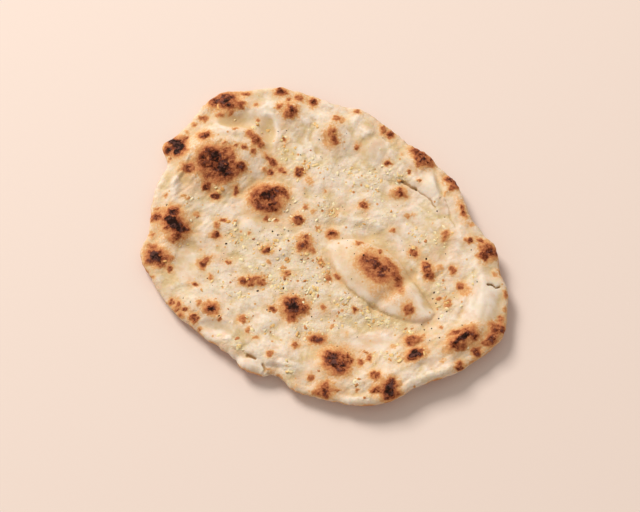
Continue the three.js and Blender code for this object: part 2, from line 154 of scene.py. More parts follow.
# Browned and charred spots: middle, length, width, turn in degrees, and depth of colour, from 0, pale, to 1,
# dark brown, and above it charred black
SPOTS = [
    # Upper edge and upper left
    (-73, 111, 17, 10, 20, .85), (-68, 110, 9, 12, 0, .9), (-68, 105.5, 8, 5, 0, .9),
    (-60, 108, 9, 5, -20, .6), (-78, 109, 9, 7, 30, .65), (-56, 116, 6, 3.5, 0, .8),
    (-60, 105, 5, 2.2, -15, .6), (-74, 99, 5, 3.5, 0, .7), (-66, 100, 3, 4, 0, .6),
    (-49, 107, 3, 3, 0, .6), (-47, 95, 3, 3, 0, .5), (-86, 96, 6, 5, 0, .6), (-92, 91, 4, 5, 0, .45),
    (-97, 86, 4, 4, 0, .4), (-98, 79.5, 3, 4, 0, .7), (-108, 78, 6, 5, 0, 1.3),
    (-104, 76, 8, 7, 0, 1.3), (-100.5, 74, 6, 7, 0, 1.25), (-103, 70, 7, 6, 0, 1.2),
    (-110, 71, 6, 5, 0, 1.2), (-108, 63, 3, 2, 0, .6), (-95, 57, 8, 6.5, 0, .9),
    (-84, 82, 8, 6, 10, .85), (-84, 63.5, 9, 11, 0, .8), (-76, 62, 14, 18, 0, .86),
    (-72, 56, 6, 9, 0, .95), (-69, 60, 9, 15, 0, .8), (-78, 69, 13, 8, -20, .9),
    (-68, 72, 7, 5, 20, .7), (-80, 55, 10, 7, 0, .65), (-64, 66, 5, 10, 0, .6),
    (-77, 61, 30, 28, 0, .42), (-68, 53, 8, 8, 0, .7), (-65, 58, 10, 12, 0, .5),
    (-74, 48, 14, 6, 0, .35), (-70, 77, 3, 3, 0, .5), (-58.5, 60, 7, 8, 0, .85),
    (-61, 55, 3, 7, -20, .5), (-63, 88, 5, 2, 0, .45), (-53, 85, 5, 5, 0, .7), (-49, 81, 8, 6, -60, .8),
    (-45, 77, 5, 3.5, -60, .7), (-62, 75.5, 2.5, 2, 0, .6), (-56, 74.5, 4, 3, -30, .7),
    (-50, 71.5, 3, 4.5, 0, .8), (-31, 118, 8, 6.5, 0, .9), (-25.5, 110.5, 2, 3, 0, .6),
    (-23, 103.5, 9, 6, -60, .9), (-26, 100, 8, 8, 0, .6), (-32, 105.5, 4, 6, 0, .6),
    (-18, 112.5, 7, 5, 0, .7), (-8.5, 109, 6, 5.5, 0, .85), (8, 97, 5, 4, 0, .6),
    (12, 95, 7, 5, 0, .35), (4.5, 87, 6, 6, 0, .6), (6.5, 82, 5, 4, 0, .55), (8, 79, 5, 4, 0, .6),
    (4, 83, 14, 20, 0, .3), (-28, 80.5, 3, 3, 0, .6), (22.5, 75.5, 3.5, 3.5, 0, .75),
    (23, 101, 4, 2.5, 0, .6), (-37.5, 65, 11, 4, -49, .8), (-30, 58.5, 6, 4, -40, .8),
    (-38, 56.5, 5, 5, 0, .8), (-42, 59, 4, 5, 0, .45), (-17.5, 57.5, 6, 5.5, 0, .85),
    (-11, 51, 7, 8, 0, .3),
    # Right side
    (41, 88, 4, 5.5, 0, .7), (46, 84, 6, 5, -30, .75), (44, 63, 5, 4, -20, .65), (53, 69, 4, 4, 0, .25),
    (58.5, 56.5, 2.5, 2.5, 0, .7), (64, 71, 10, 7, -30, .65), (67, 66, 8, 11, 20, .85),
    (72, 63, 10, 7, -30, .75), (66, 62, 5, 6, 0, .6), (65.5, 49, 2.5, 2.5, 0, .6),
    (52, 41.5, 6, 6, 0, .8), (50, 41, 13, 9, 0, .3), (56, 38, 6, 4, -40, .4), (88, 48, 10, 6, -30, .9),
    (87, 43, 5, 6, 0, .6), (91, 44, 5, 5, 0, .7), (83, 38, 6, 3, 60, .35), (94, 26, 11, 4, -75, .8),
    (100, 15, 4.5, 4.5, 0, .4), (57, 23.5, 4, 3, 0, .45), (61, 24, 4, 4, 0, .25),
    (82, 8, 8.5, 6, 70, .5), (46.5, 13, 4, 4, 0, .55), (98, 3, 4.5, 4.5, 0, .75),
    (106, 2.5, 5, 3, -30, .7), (110, -4, 10, 8, -40, .8), (108, -9, 6, 8, 0, .85),
    (114, -7, 6, 8, -30, .75), (103.5, -8.5, 3, 3, 0, .5), (60, -3.5, 5.5, 6.5, 0, .85),
    (69, -15, 8, 5, -65, .85), (70, -20, 6, 8, 0, .75), (72, -23, 5, 4, 0, .5),
    (78, -15.5, 5, 5, 0, .35), (86.5, -18, 5, 6.5, 10, .65), (91, -30, 4.5, 6, 0, .65),
    (94, -34, 10, 9, 0, .3), (114, -23, 3, 4, 0, .4), (118, -22, 3, 6, 0, .5), (121, -38, 3, 6, 0, .6),
    (27, 32, 5.5, 5.5, 0, .8), (82.5, -43, 5, 5.5, 0, .55), (77, -39, 4, 3, 0, .55),
    # Middle
    (-46, 37, 12, 16, 0, .6), (-39, 40, 12, 11, 0, 1), (-31, 43, 9, 6, -20, .9),
    (-26.5, 40, 5, 6, 0, .6), (-36, 31, 10, 8, 0, .92), (-44, 30, 8, 6, 0, .6),
    (-40, 37, 26, 22, 0, .45), (-40, 22, 4, 4, 0, .6), (-33.5, 21, 3, 3.5, 0, .65),
    (-18.5, 21, 7, 6, 0, .95), (-13.5, 30.5, 3.5, 4, 0, .55), (-8, 28, 4, 4, 0, .35),
    (-5, 14.5, 3, 4, 0, .45), (5, 10.5, 5, 4, 0, 1.1), (5, 9, 9, 7, 0, .35), (-13.5, 2.5, 5, 5, 0, .9),
    (-13, 8, 4, 4, 0, .75), (-14, 3, 14, 16, 0, .38), (-9, -2, 6, 5, 0, .45), (-18, 0, 5, 6, 0, .5),
    (-40, -1.5, 4.5, 4.5, 0, .85), (-40, -1.5, 11, 8, 0, .35), (-3, -10.5, 3.5, 6, 0, .5),
    (-38, -11, 3, 3, 0, .4), (-29.5, -14, 3, 3.5, 0, .4), (0, 43, 3, 3, 0, .4), (6, 27, 10, 8, 0, .25),
    (1, -22, 5, 6, 0, .45), (2.5, -24, 3.5, 3.5, 0, .5), (-1.5, -43.5, 4.5, 4.5, 0, .55),
    (20.5, -45.5, 3.5, 3.2, 0, .75), (8.5, -21.5, 6, 3, -45, .7), (12, -46, 2, 2, 0, .4),
    (4.5, -57.5, 3.5, 3, 0, .4), (14, -63.5, 5, 5, 0, .22),
    # The long bubble and its second lobe. The weak wide spot at (38, -34), on the bubble's lower flank away
    # from the light, is partly a golden tan and partly painted shade.
    (28, -8, 9, 8, 0, .66), (34, -12, 12, 8, -30, .82), (38, -18, 6, 9, 0, .66),
    (43, -16, 7, 5, -30, .76), (47.5, -22, 10, 5, -65, .62), (48.5, -27, 4, 6, 0, .5),
    (23.5, 3, 6, 2.5, -5, .6), (31.5, 0, 4, 2.2, -25, .45), (37, -2.5, 5, 2.5, -35, .6),
    (42, -8, 4, 2.5, -35, .45), (34, -15, 29, 18, -30, .46), (46, -30, 8, 8, 0, .3),
    (30, -17, 8, 7, 0, .4), (20, -12, 4, 3, 0, .2), (35, -20, 26, 15, -35, .28),
    (38, -34, 28, 12, -35, .2), (50, -25, 5, 18, 12, .5), (46, -14, 12, 4, -50, .6),
    (63, -52, 20, 7, -8, .14), (31, -3, 16, 6, -25, .22), (39, -23, 14, 8, -35, .3),
    (55.5, -45.5, 6, 8.5, 0, .72), (55.5, -45.5, 9, 11, 0, .3),
    # Left side
    (-82, 44, 6, 6, 0, .85), (-82, 50, 3.5, 3.5, 0, .7), (-76, 38, 6, 5.5, 0, .8),
    (-61.5, 43, 4, 6.5, 0, .7), (-97, 36, 3, 2, 0, .5), (-94, 34.5, 3, 3, 0, .45),
    (-110, 36, 2.5, 3, 0, .5), (-115, 26.5, 3, 2, 0, .5), (-104, 24.5, 8, 6, 0, 1),
    (-106, 18, 10, 7, -20, 1.2), (-101.5, 14, 12, 8, -35, 1.15), (-96, 12, 6, 5, 0, .9),
    (-108, 12, 5, 5, 0, .75), (-101, 6, 7, 7, 0, .75), (-104, 3, 5, 4, 0, .6),
    (-115, 20, 4.5, 6, 0, .85), (-119, 18, 2.5, 6, 0, .6), (-118.5, 7, 3.5, 5, 0, .65),
    (-88, 23, 5, 4, 0, .4), (-74, 16.5, 4, 6, 0, .55), (-70, 20.5, 3.5, 2.5, 0, .6),
    (-75, 9, 6, 4.5, 0, .8), (-62, 20, 3, 3, 0, .4), (-51.5, 11, 2.5, 3, 0, .45),
    (-103, 14, 24, 28, 0, .28), (-116, -8, 9, 8, 0, 1.15), (-112, -11, 8, 6, 0, .9),
    (-118, -12, 7, 6, 0, .75), (-111, -15, 6, 5, 0, .6), (-105, -18.5, 4.5, 5, 0, .65),
    (-106, -11, 6, 6, 0, .55), (-114, -10, 20, 16, 0, .35), (-118, -2, 8, 4, 0, .5),
    (-81.5, -10.5, 7, 3, 30, .85), (-83, -13.5, 4, 5, 0, .7), (-83, -16, 4, 3, 0, .35),
    (-66, -11, 4.5, 2.5, -15, .65), (-117, -26, 3, 3, 0, .45), (-88, -29, 5, 3.5, -20, .65),
    (-77.5, -23, 4.5, 4.5, 0, .45), (-121, -14, 3, 3, 0, .5),
    # Lower left
    (-103, -43, 3.5, 5, 0, .75), (-98, -44, 3, 5, 0, .7), (-99, -48.5, 4, 3, 0, .85),
    (-94, -47.5, 3, 2.5, 0, .75), (-96, -52, 5, 3, -60, .65), (-87.5, -53.5, 5, 6, 0, .9),
    (-84, -42, 4, 5, 0, .5), (-76, -46, 6, 5, 0, 1.05), (-76, -46, 12, 12, 0, .42),
    (-70, -53, 2, 2, 0, .7), (-83.5, -62, 3, 5, 0, .5), (-55, -53, 6, 6, 0, .55),
    (-58, -53, 5, 7, 0, .3), (-51, -61, 3, 4, 0, .5), (-46, -66, 4, 3.5, 0, .4),
    (-55.5, -24.5, 5, 5.5, 0, .7), (-49, -23, 9, 3, 15, .75), (-50, -26, 4, 5, 0, .7),
    (-42.5, -26, 6, 5, 0, .7), (-49, -25, 16, 7, 0, .3), (-26.5, -19, 6, 5, -20, .55),
    (-35.5, -44, 3.5, 2.5, 0, .95), (-34, -46, 4, 3, 0, .45),
    # Bottom
    (-22.5, -40, 10, 8, 0, .9), (-22, -45, 9, 9, 0, .97), (-17, -44, 10, 8, 0, .7),
    (-12.5, -43, 5, 3.5, -20, .65), (-12, -46, 4, 3, -50, .4), (-22.5, -52, 6, 5, 0, .65),
    (-22, -44, 18, 17, 0, .4), (-6, -67, 9, 5.5, 0, .85), (-5, -67, 14, 9, 0, .4),
    (-20, -70.5, 4.5, 4.5, 0, .6), (-19.5, -72.5, 5, 4, 0, .35), (-36.5, -77.5, 5, 5, 0, .5),
    (4, -79, 9, 8, 0, .85), (8, -83, 12, 13, 0, .92), (15, -81, 8, 5, -30, .75),
    (12.5, -88, 6, 6, 0, .8), (1, -80, 6, 9, 0, .7), (8, -84, 22, 20, 0, .42), (10, -92, 14, 6, 0, .3),
    (23.5, -84, 4, 5.5, 0, .6), (29, -81.5, 4, 5, 0, .65), (27, -77, 6, 1.8, -15, .55),
    (32.5, -94, 5.5, 5, 0, .8), (33, -95, 8, 6, 0, .4), (43, -98.5, 6, 6, 0, .85),
    (42, -104, 8, 8, 0, 1.15), (41, -109, 7, 4, 0, .85), (47.5, -107, 6, 2.5, -15, .7),
    (36.5, -105.5, 5, 3, 0, .7), (42, -104, 14, 17, 0, .4), (32.5, -104, 6, 5.5, 0, .8),
    (0, -103, 5, 8, 0, .85), (-4.5, -107, 8, 3.5, 0, .75), (0, -108.5, 5, 4, 0, .85),
    (8, -104.5, 6, 2, 0, .45), (0, -104, 16, 13, 0, .38), (1, -98, 4, 3, 0, .3),
    (-9.5, -95.5, 4, 5.5, 0, .6), (21, -104.5, 2.5, 3.5, 0, .5), (-19, -101.5, 5, 4, 0, .3),
    (-36, -91, 7, 4, -40, .3), (-30, -95, 6, 3, -30, .45), (45, -72.5, 5, 3, 20, .3),
    (42.5, -84, 3, 3, 0, .25),
    # Lower right
    (59, -68, 12, 6, 5, .6), (56.5, -68.5, 6, 7, 0, .7), (64, -66, 6, 3, 0, .4),
    (56, -72.5, 5, 3, 0, .45), (59, -79.5, 12, 6, 25, .9), (58, -79, 7, 4.5, 30, 1.1),
    (62, -78, 7, 5, 20, .6), (89, -68.5, 15, 5, 40, 1.1), (88, -63.5, 14, 3, 18, .65),
    (98, -67, 6, 6, 0, .9), (94, -65.5, 6, 4, 0, .7), (84, -73, 7, 5, 40, .6), (89, -74, 10, 6, 0, .6),
    (92, -68, 24, 14, 20, .35), (99.5, -78.5, 5.5, 6, 0, .9), (102, -79, 5, 3, 30, .5),
    (110, -69.5, 7, 7, 30, .95), (106, -72, 5, 4, 0, .75), (113, -62, 8, 8, 0, .7),
    (117.5, -62.5, 4, 7, 0, .95), (110, -59, 6, 5, 0, .4), (117, -55, 4, 4.5, 0, .7),
    (120, -48, 2.5, 4, 0, .5), (88.5, -89, 6, 6, 0, .9), (88, -86, 5, 4, 0, .4),
    (77.5, -84, 5, 5, 0, .28), (76.5, -59.5, 3, 3, 0, .5), (97, -86, 6, 4, 40, .4),
]

# Taut, smooth skin on bubbles and in hollows: middle, half-length, half-width, turn in degrees
TAUT_SKINS = [
    (33, -19, 38, 20, -36), (57, -43, 20, 13, -22), (-72, -59, 13, 8, -22), (-61, 96, 18, 9, 6),
    (-41, 91, 10, 15, 8), (-50, -87, 10, 8, -25), (-52, 17, 9, 9, 0), (108, -42, 22, 12, 80),
    (34, 73, 11, 10, -30), (73, 46, 8, 12, 10), (-22, 75, 7, 6, 0), (-94, -14, 8, 14, 10),
    (30, -70, 14, 6, 0), (-76, 84, 12, 5, 10),
]

# Where garlic was strewn and butter pools: middle, half-length, half-width, turn in degrees, number of bits
GARLIC_PATCHES = [
    (-29, -22, 28, 14, -12, 84), (-10, -33, 7, 7, 0, 24), (-11, -59, 13, 6, -15, 18),
    (-58, -37, 9, 5, 0, 7), (-67, -28, 4, 4, 0, 6), (-38, -61, 6, 5, -40, 6), (-62, -73, 9, 3, -25, 6),
    (-24, -91, 4, 7, 0, 7), (-45, 92, 5, 6, 0, 6), (-28, 75, 6, 9, 20, 17), (-13, 65, 8, 7, 0, 15),
    (-7, 92, 4, 4, 0, 6), (-96, 36, 4, 4, 0, 5), (-62, 12, 5, 10, 0, 13), (-48, 4, 12, 8, 0, 21),
    (-27, 6, 10, 11, 0, 21), (0, 60, 5, 6, 0, 8), (18, 60, 6, 5, 0, 10), (31, 53, 9, 7, -20, 18),
    (51, 52, 7, 5, -35, 14), (19, 43, 3, 5, 0, 4), (37, 40, 5, 5, 0, 6), (2, 30, 7, 10, 0, 21),
    (30, 19, 6, 4, 0, 6), (44, 22, 5, 4, 0, 5), (67, 6, 5, 8, 0, 8), (81, 8, 5, 7, 0, 6),
    (15, -42, 13, 8, -30, 29), (37, -52, 13, 5, -22, 25), (54, -60, 8, 4, -20, 11),
    (77, -28, 5, 7, 0, 14), (81, -43, 8, 6, 0, 13), (43, -80, 8, 4, 0, 10), (21, -99, 4, 4, 0, 6),
    (26, -109, 4, 2, 0, 4), (3, -56, 9, 7, 0, 13), (62, -97, 4, 5, 0, 5), (78, -92, 7, 3, 20, 6),
    (100, -25, 3, 4, 0, 4), (-20, 30, 14, 14, 0, 18), (-14, -6, 18, 10, 0, 28), (10, 0, 7, 16, 0, 10),
    (34, -80, 3, 4, 0, 4), (0, -18, 10, 9, 0, 17), (-48, -50, 14, 10, 0, 8),
]


def smooth_step(low, high, value):
    """0 below low, 1 above high, and the cubic t² (3 − 2t) between them."""
    t = np.clip((value - low) / (high - low), 0, 1)
    return t * t * (3 - 2 * t)


def noise(x, y, cell, seed):
    """Gradient noise, about -1 to 1: every corner of a square lattice holds a random direction, and a point
    takes its offsets from the four corners around it along their directions, blended by the quintic
    6t⁵ − 15t⁴ + 10t³."""
    size = 256
    turn = np.random.default_rng(seed).uniform(0, 2 * np.pi, (size, size))
    # The lattice is turned by a different angle for each seed, so that no two layers line up.
    lean = seed * 0.7
    u = (x * np.cos(lean) - y * np.sin(lean)) / cell
    v = (x * np.sin(lean) + y * np.cos(lean)) / cell
    i, j = np.floor(u).astype(int), np.floor(v).astype(int)
    a, b = u - i, v - j

    def corner(di, dj):
        angle = turn[(i + di) % size, (j + dj) % size]
        return np.cos(angle) * (a - di) + np.sin(angle) * (b - dj)

    fade_a, fade_b = (t ** 3 * (6 * t * t - 15 * t + 10) for t in (a, b))
    near = corner(0, 0) * (1 - fade_a) + corner(1, 0) * fade_a
    far = corner(0, 1) * (1 - fade_a) + corner(1, 1) * fade_a
    return 1.4 * (near * (1 - fade_b) + far * fade_b)


def edge_reach(angle):
    """Distance from the middle to the edge: a closed cubic through the outline's points in angle and reach,
    whose slope at each point is that of the line between its neighbours, with small uneven waves on it."""
    angles, reaches = np.arctan2(OUTLINE[:, 1], OUTLINE[:, 0]), np.hypot(OUTLINE[:, 0], OUTLINE[:, 1])
    order = np.argsort(angles)
    angles, reaches = angles[order], reaches[order]
    turn = 2 * np.pi
    angles = np.concatenate([angles[-2:] - turn, angles, angles[:2] + turn])
    reaches = np.concatenate([reaches[-2:], reaches, reaches[:2]])
    slopes = np.gradient(reaches) / np.gradient(angles)
    k = np.clip(np.searchsorted(angles, angle) - 1, 0, len(angles) - 2)
    span = angles[k + 1] - angles[k]
    t = (angle - angles[k]) / span
    smooth = (
        (2 * t ** 3 - 3 * t ** 2 + 1) * reaches[k] + (t ** 3 - 2 * t ** 2 + t) * span * slopes[k]
        + (3 * t ** 2 - 2 * t ** 3) * reaches[k + 1] + (t ** 3 - t ** 2) * span * slopes[k + 1]
    )
    x, y = MEAN_REACH * np.cos(angle), MEAN_REACH * np.sin(angle)
    return smooth + 0.6 * noise(x, y, 9, 3) + 0.5 * noise(x, y, 4, 4) + 0.25 * noise(x, y, 2.2, 5)


def underside_height(angle, share):
    """Height of the underside at a share of the way from middle to edge: flat, then curling up in five slow
    waves, more on one side."""
    edge = EDGE_LIFT + LIFT_LEAN * np.cos(angle - LIFT_SIDE)
    waves = 1 + 0.18 * np.sin(5 * angle + 1)
    curl = smooth_step(CURL_STARTS, CURL_ENDS, share) / smooth_step(CURL_STARTS, CURL_ENDS, 1)
    return edge * waves * curl


def dough_thickness(angle, share):
    """Thickness without the bubbles: even in the middle, swelling into the rim, and thinner at the edge."""
    rim = RIM_THICKNESS * (1 + 0.12 * np.sin(7 * angle) * np.cos(3 * angle + 2))
    swollen = DOUGH_THICKNESS + (rim - DOUGH_THICKNESS) * smooth_step(RIM_STARTS, RIM_FULL, share)
    return swollen + (EDGE_THICKNESS - rim) * smooth_step(THINNING_STARTS, 1, share)


def turned(x, y, middle_x, middle_y, degrees):
    """Places along and across a line through a middle, turned by that many degrees."""
    angle = np.radians(degrees)
    along = (x - middle_x) * np.cos(angle) + (y - middle_y) * np.sin(angle)
    across = (y - middle_y) * np.cos(angle) - (x - middle_x) * np.sin(angle)
    return along, across


def in_ellipse(x, y, middle_x, middle_y, half_length, half_width, degrees):
    """0 in the middle of a turned ellipse A by B, 1 on its line and more outside it: (a/A)² + (b/B)²."""
    along, across = turned(x, y, middle_x, middle_y, degrees)
    return (along / half_length) ** 2 + (across / half_width) ** 2


def long_bubble_height(x, y):
    """Height of the largest bubble. Its skin is stretched over its foot like a tent: the height grows with
    how far inside every side of the foot a point lies, as one over the root of the sum of one over each
    distance squared."""
    ahead = np.roll(LONG_BUBBLE, -1, axis=0)
    total = np.zeros_like(x)
    for (x0, y0), (x1, y1) in zip(LONG_BUBBLE, ahead):
        inside = ((x1 - x0) * (y - y0) - (y1 - y0) * (x - x0)) / np.hypot(x1 - x0, y1 - y0)
        total += np.maximum(inside, 0.01) ** -2.0
    depth = 1 / np.sqrt(total)
    end_x, end_y = LONG_BUBBLE_END
    gentle = 0.8 + 0.5 * np.exp(-((x - end_x) ** 2 + (y - end_y) ** 2) / LONG_BUBBLE_END_SIZE ** 2)
    return LONG_BUBBLE_HEIGHT * np.clip(depth / LONG_BUBBLE_SIDE, 0, 1.3) ** gentle


def bubble_height(x, y):
    """Height of the other bubbles, less the hollows. Each is (1 − (a/A)² − (b/B)²) to a power, over a
    turned ellipse A by B whose edge noise has bent."""
    bent_x, bent_y = x + 1.8 * noise(x, y, 11, 19), y + 1.8 * noise(x, y, 11, 20)
    total = np.zeros_like(x)
    for *ellipse, height, power in BUBBLES:
        total += height * np.clip(1 - in_ellipse(bent_x, bent_y, *ellipse), 0, 1) ** power
    for *ellipse, depth in HOLLOWS:
        total -= depth * np.clip(1 - in_ellipse(bent_x, bent_y, *ellipse), 0, 1) ** 1.5
    return total


def line_distance(x, y, points):
    """Distance to a broken line's nearest piece: a point is dropped onto each piece, between its ends."""
    best = np.full_like(x, 1e6)
    for (x0, y0), (x1, y1) in zip(points[:-1], points[1:]):
        dx, dy = x1 - x0, y1 - y0
        t = np.clip(((x - x0) * dx + (y - y0) * dy) / (dx * dx + dy * dy), 0, 1)
        best = np.minimum(best, np.hypot(x - x0 - t * dx, y - y0 - t * dy))
    return best


def fold_height(x, y, widest=np.inf):
    """Height of the folds no wider than a limit: each is a ridge or trough along a line that noise has bent,
    shaped like a bell, exp(−(d / w)²), with w 0.3 mm more than half the fold's width."""
    x, y = x + 0.9 * noise(x, y, 4.5, 63), y + 0.9 * noise(x, y, 4.5, 64)
    total = np.zeros_like(x)
    for points, width, height in FOLDS:
        if width <= widest:
            total += height * np.exp(-(line_distance(x, y, points) / (width / 2 + 0.3)) ** 2)
    return total


def blister_height(x, y):
    """Height of the blisters: each browned spot sits on one of its own, which stood nearest the fire. It is
    up to 1.1 mm high times the spot's depth, and 1.4 times as wide as the spot."""
    total = np.zeros_like(x)
    for middle_x, middle_y, length, width, degrees, strength in SPOTS:
        inside = 1 - in_ellipse(x, y, middle_x, middle_y, length / 1.4, width / 1.4, degrees)
        height = strength * min(1.1, 0.13 * np.sqrt(length * width))
        total = np.maximum(total, height * np.clip(inside, 0, 1) ** 1.5)
    return total


def smoothness(x, y):
    """1 on taut skin, where the dough is smooth, and 0 elsewhere."""
    total = np.zeros_like(x)
    for ellipse in TAUT_SKINS:
        total = np.maximum(total, 1 - smooth_step(0.7, 1.15, in_ellipse(x, y, *ellipse)))
    return total


def garlic_cover(x, y):
    """How thickly garlic lies, about 0 to 1: a bell over each patch, as high as its bits are close."""
    total = np.zeros_like(x)
    for *ellipse, count in GARLIC_PATCHES:
        half_length, half_width = ellipse[2:4]
        closeness = min(1, 2.2 * count / (half_length * half_width))
        total = np.maximum(total, closeness * np.exp(-1.1 * in_ellipse(x, y, *ellipse)))
    return total


def wrinkle_height(x, y):
    """Creases that run along the edge, where the dough was stretched: noise 3.2 times longer than wide,
    turned to the edge's own direction in each quarter, growing from the middle outwards."""
    angle, share = np.arctan2(y, x), np.hypot(x / HALF_LENGTH, y / HALF_WIDTH)
    total = np.zeros_like(x)
    for lean, quarter, seed in ((-45, 1, 61), (45, -1, 62)):
        along, across = turned(x, y, 0, 0, lean)
        here = np.clip(quarter * np.sin(2 * angle) + 0.25, 0, 1)
        total += here * np.abs(noise(along / 3.2, across, 4.6, seed))
    return 0.75 * total * smooth_step(0.2, 0.65, share) * (1 - smooth_step(0.93, 1.05, share))


def relief_height(x, y):
    """What stands up from the plain dough: bubbles, folds and blisters, with swells and lumps of noise. The
    size of a noise, without its sign, makes round lumps with sharp creases between them."""
    rough = 1 - smoothness(x, y)
    bend_x, bend_y = x + 3 * noise(x, y, 19, 17), y + 3 * noise(x, y, 19, 18)
    swells = 0.7 * noise(bend_x, bend_y, 24, 11) + 0.5 * noise(bend_x, bend_y, 13, 12)
    lumps = 1.2 * np.abs(noise(bend_x, bend_y, 15, 13)) + 0.5 * np.abs(noise(bend_x, bend_y, 8, 14))
    grains = np.abs(noise(x, y, 3.9, 15)) + 0.6 * np.abs(noise(x, y, 2.4, 16))
    grains *= 0.22 + 0.5 * garlic_cover(x, y)
    raised = long_bubble_height(x, y) + bubble_height(x, y) + fold_height(x, y)
    raised += 0.7 * blister_height(x, y)
    return raised + (0.3 + 0.7 * rough) * swells + rough * (lumps + grains + wrinkle_height(x, y) - 0.85)


def upper_height(x, y):
    """Height of the upper skin anywhere inside the edge's rounding."""
    angle = np.arctan2(y, x)
    share = np.hypot(x, y) / (edge_reach(angle) - NOSE_WIDTH)
    return underside_height(angle, share) + dough_thickness(angle, share) + relief_height(x, y)


def seen_from_front(x, y, z):
    """Where a point seems to lie on the bread without its bubbles, for an eye in front that looks down at
    the view's slope: a point that stands up seems further back by its height over the slope's tangent."""
    rise = EDGE_RISE * smooth_step(0.45, 1, np.hypot(x / HALF_LENGTH, y / HALF_WIDTH))
    return x, y + (z - DOUGH_THICKNESS - rise) / np.tan(VIEW_SLOPE)


def browning(x, y, z):
    """How deep the crust is browned: 0 is pale, and above 1 is black. Each spot is a turned ellipse whose
    edge noise has bent: a deep body, a halo and a wide weak glow. Overlapping spots add up by their powers,
    so that the sum is little more than the deepest of them."""
    x, y = seen_from_front(x, y, z)
    warp_x = x + 1.2 * noise(x, y, 5, 21) + 1.1 * noise(x, y, 2.5, 22)
    warp_y = y + 1.2 * noise(x, y, 5, 23) + 1.1 * noise(x, y, 2.5, 24)
    total = np.zeros_like(x)
    for middle_x, middle_y, length, width, degrees, strength in SPOTS:
        half = min(length, width) / 2
        squared = in_ellipse(warp_x, warp_y, middle_x, middle_y, length / 2, width / 2, degrees)
        away = np.sqrt(squared) / SPOT_SPREAD
        body = 1 - smooth_step(0.38, 1.1, away)
        halo = 1 - smooth_step(-0.3 * half, 1.5 + 0.6 * half, (away - 1) * half)
        glow = 1 - smooth_step(0, 5 + 1.2 * half, (away - 1) * half)
        total += (strength * (0.63 * body + 0.21 * halo + 0.14 * glow)) ** 2.5
    return np.clip(total ** 0.4, 0, 1.3)


# The skin is a square grid of cells bent into a disc, and joined by the rounded edge's rows to a coarser one
# below. Near its middle it is stretched to a round of one reach.
CELLS = 272
NOSE_STEPS = 5
HOLLOW_PASSES = 60
MIDDLE_REACH = 112
LOWER_INSET = 0.985


def disc_grid(cells):
    """Square grid bent into a disc: u and v, from -1 to 1, become u √(1 − v²/2) and v √(1 − u²/2)."""
    side = np.linspace(-1, 1, cells + 1)
    u, v = np.meshgrid(side, side, indexing="ij")
    return u * np.sqrt(1 - v * v / 2), v * np.sqrt(1 - u * u / 2)


def stretched(disc_x, disc_y):
    """A disc's points stretched out to where the edge's rounding starts. Near the middle the stretch is the
    same all round, and it takes on the outline's shape with the square of the distance."""
    angle, share = np.arctan2(disc_y, disc_x), np.hypot(disc_x, disc_y)
    reach = MIDDLE_REACH + (edge_reach(angle) - NOSE_WIDTH - MIDDLE_REACH) * share ** 2
    return share * reach * np.cos(angle), share * reach * np.sin(angle)


def border(cells):
    """Numbers of a grid's border vertices, anticlockwise from the corner at -1, -1."""
    number = np.arange((cells + 1) ** 2).reshape(cells + 1, cells + 1)
    return np.concatenate([number[:-1, 0], number[-1, :-1], number[:0:-1, -1], number[0, :0:-1]])


def grid_faces(cells, facing_up):
    """The grid's square faces, facing up or down."""
    number = np.arange((cells + 1) ** 2).reshape(cells + 1, cells + 1)
    corners = [number[:-1, :-1], number[1:, :-1], number[1:, 1:], number[:-1, 1:]]
    faces = np.stack([c.ravel() for c in corners], axis=1)
    return faces if facing_up else faces[:, ::-1]


def blurred(grid, passes):
    """Each pass moves every value halfway to the mean of its four neighbours."""
    for _ in range(passes):
        padded = np.pad(grid, 1, mode="edge")
        around = padded[:-2, 1:-1] + padded[2:, 1:-1] + padded[1:-1, :-2] + padded[1:-1, 2:]
        grid = 0.5 * grid + around / 8
    return grid


